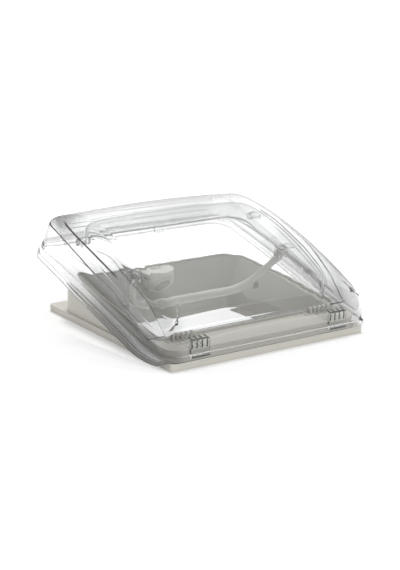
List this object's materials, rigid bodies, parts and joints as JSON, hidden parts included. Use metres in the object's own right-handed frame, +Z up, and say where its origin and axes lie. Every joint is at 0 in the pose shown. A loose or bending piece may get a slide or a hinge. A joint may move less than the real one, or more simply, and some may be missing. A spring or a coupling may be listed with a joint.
{
  "type": "caravan roof vent",
  "caption": "Square roof vent for a caravan: a clear double-glazed dome hinged at the front of a moulded frame, with a U-shaped operating bow and a push-button latch.",
  "frame": {"origin": "centre of the roof cut-out, on the roof plane under the flange", "axes": "+Z up, away from the roof; +Y to the rear, where the dome opens; +X to the right seen from the hinges looking to the rear"},
  "size_m": [0.528, 0.5696, 0.2853],
  "materials": {
    "frame_plastic": "satin, cream",
    "liner_plastic": "satin, warm grey",
    "seal_rubber": "matt, light grey",
    "pin_steel": "bright",
    "screw_steel": "bright",
    "latch_plastic": "satin, cream",
    "outer_acrylic": "clear, polished",
    "inner_acrylic": "clear, polished",
    "clear_fittings": "clear",
    "bow_plastic": "satin, warm grey",
    "buffer_rubber": "matt, grey",
    "button_plastic": "satin, grey",
    "bolt_plastic": "satin, grey"
  },
  "bodies": {
    "frame": {"base_frame": "frame_plastic", "liner": "liner_plastic", "rim_seal": "seal_rubber", "hinge_bracket_left": "frame_plastic", "hinge_bracket_right": "frame_plastic", "hinge_pin_left": "pin_steel", "hinge_pin_right": "pin_steel", "hinge_screw_left_outer": "screw_steel", "hinge_screw_left_inner": "screw_steel", "hinge_screw_right_inner": "screw_steel", "hinge_screw_right_outer": "screw_steel", "liner_screw_front_left": "screw_steel", "liner_screw_rear_left": "screw_steel", "liner_screw_front_right": "screw_steel", "liner_screw_rear_right": "screw_steel", "latch_housing": "latch_plastic", "latch_spring": "pin_steel", "latch_screw_left": "screw_steel", "latch_screw_right": "screw_steel"},
    "dome": {"dome_outer": "outer_acrylic", "dome_inner": "inner_acrylic", "dome_hinge_left": "clear_fittings", "dome_hinge_right": "clear_fittings", "pane_stud_rear_left": "clear_fittings", "pane_stud_rear_right": "clear_fittings", "bow_clip_left": "clear_fittings", "bow_clip_right": "clear_fittings", "bow_pivot_left": "pin_steel", "bow_pivot_right": "pin_steel", "latch_keeper": "clear_fittings"},
    "bow": {"bow": "bow_plastic", "bow_buffer_left": "buffer_rubber", "bow_buffer_right": "buffer_rubber"},
    "button": {"push_button": "button_plastic"},
    "bolt": {"latch_bolt": "bolt_plastic"}
  },
  "joints": [
    {"name": "dome_tilt", "type": "hinge", "parent": "frame", "child": "dome", "pos_m": [0, -0.19, 0.0485], "axis": [1, 0, 0], "range_deg": [-15, 0]},
    {"name": "bow_swing", "type": "hinge", "parent": "dome", "child": "bow", "pos_m": [0, -0.03145, 0.13291], "axis": [1, 0, 0], "range_deg": [0, 50]},
    {"name": "button_press", "type": "slide", "parent": "frame", "child": "button", "axis": [0, 0.7547, 0.6561], "range_m": [0, 0.004], "stiffness_N_per_m": 900},
    {"name": "bolt_slide", "type": "slide", "parent": "frame", "child": "bolt", "axis": [0, -1, 0], "range_m": [0, 0.004]}
  ],
  "couplings": [
    {"joint": "bow_swing", "follows": "dome_tilt", "ratio": -3.3133},
    {"joint": "bolt_slide", "follows": "button_press", "ratio": 1}
  ]
}
